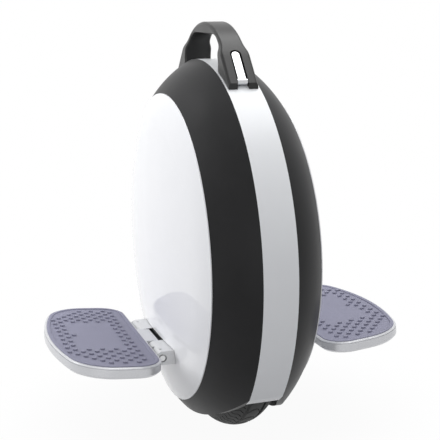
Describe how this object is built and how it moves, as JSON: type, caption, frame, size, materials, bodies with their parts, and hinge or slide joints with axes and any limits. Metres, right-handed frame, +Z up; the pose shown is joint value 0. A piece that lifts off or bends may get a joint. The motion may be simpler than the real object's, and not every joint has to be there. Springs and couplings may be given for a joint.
{
  "type": "electric unicycle",
  "caption": "Self-balancing electric unicycle with a domed round shell, hub-motor wheel, carry handle and folding tilted pedals with studded rubber pads.",
  "frame": {"origin": "on the floor under the middle of the axle, where the tyre stands", "axes": "+X the way it rolls, +Y along the axle to the rider's left, +Z up"},
  "size_m": [0.4, 0.3812, 0.4383],
  "materials": {
    "tyre_rubber": "matte tread rubber",
    "tube_rubber": "matte butyl",
    "cast_alloy": "cast and machined",
    "bright_steel": "zinc plated",
    "motor_steel": "laminated electrical steel",
    "magnet_nickel": "nickel plated",
    "copper_wire": "varnished copper",
    "contact_brass": "plated",
    "frame_alloy": "milled plate",
    "hinge_alloy": "satin silver paint",
    "tray_silver": "satin silver paint",
    "polished_chrome": "polished",
    "pad_rubber": "matte grey-violet rubber",
    "white_gloss": "polished white",
    "white_satin": "satin white",
    "black_satin": "satin black",
    "black_moulding": "plain black",
    "button_grey": "satin grey",
    "battery_wrap": "shrink wrap",
    "board_green": "solder mask",
    "capacitor_sleeve": "sleeved can"
  },
  "bodies": {
    "chassis": {"axle": "bright_steel", "axle_nuts": "bright_steel", "axle_spacers": "bright_steel", "axle_washers": "bright_steel", "battery_straps": "bright_steel", "board_capacitors": "capacitor_sleeve", "bracket_bolts": "bright_steel", "bridge_screws": "bright_steel", "carry_handle": "black_satin", "centre_band": "white_satin", "charge_cap_pin": "bright_steel", "charge_contacts": "contact_brass", "charge_socket": "black_moulding", "control_board": "board_green", "front_handle_link": "polished_chrome", "handle_anchor": "frame_alloy", "handle_pins": "polished_chrome", "handle_screws": "bright_steel", "heat_sink": "frame_alloy", "left_battery": "battery_wrap", "left_hanger_plate": "frame_alloy", "left_hinge_bracket": "hinge_alloy", "left_hinge_pin": "polished_chrome", "left_ring_shell": "black_satin", "left_side_panel": "white_gloss", "left_wheel_liner": "black_moulding", "motor_stator": "motor_steel", "motor_windings": "copper_wire", "pin_set_screws": "bright_steel", "power_switch": "black_moulding", "rear_handle_link": "polished_chrome", "right_battery": "battery_wrap", "right_hanger_plate": "frame_alloy", "right_hinge_bracket": "hinge_alloy", "right_hinge_pin": "polished_chrome", "right_ring_shell": "black_satin", "right_side_panel": "white_gloss", "right_wheel_liner": "black_moulding", "top_bridge": "frame_alloy"},
    "wheel": {"tyre": "tyre_rubber", "inner_tube": "tube_rubber", "tube_valve": "bright_steel", "wheel_rim": "cast_alloy", "motor_magnets": "magnet_nickel", "left_motor_cover": "cast_alloy", "right_motor_cover": "cast_alloy", "cover_screws": "bright_steel", "left_wheel_bearing": "bright_steel", "right_wheel_bearing": "bright_steel"},
    "left_pedal": {"left_pedal_tray": "tray_silver", "left_pedal_pad": "pad_rubber"},
    "right_pedal": {"right_pedal_tray": "tray_silver", "right_pedal_pad": "pad_rubber"},
    "button": {"power_button": "button_grey"},
    "cap": {"charge_cap": "black_moulding"}
  },
  "joints": [
    {"name": "wheel_spin", "type": "hinge", "parent": "chassis", "child": "wheel", "pos_m": [0, 0, 0.178], "axis": [0, 1, 0], "continuous": true},
    {"name": "left_pedal_fold", "type": "hinge", "parent": "chassis", "child": "left_pedal", "pos_m": [0, 0.0794, 0.0955], "axis": [1, 0, 0], "range_deg": [0, 74]},
    {"name": "right_pedal_fold", "type": "hinge", "parent": "chassis", "child": "right_pedal", "pos_m": [0, -0.0794, 0.0955], "axis": [-1, 0, 0], "range_deg": [0, 74]},
    {"name": "power_button_press", "type": "slide", "parent": "chassis", "child": "button", "axis": [0.682, 0, -0.7314], "range_m": [0, 0.0015], "stiffness_N_per_m": 600},
    {"name": "charge_cap_swing", "type": "hinge", "parent": "chassis", "child": "cap", "pos_m": [-0.16248, 0, 0.32161], "axis": [0, 1, 0], "range_deg": [0, 110]}
  ]
}
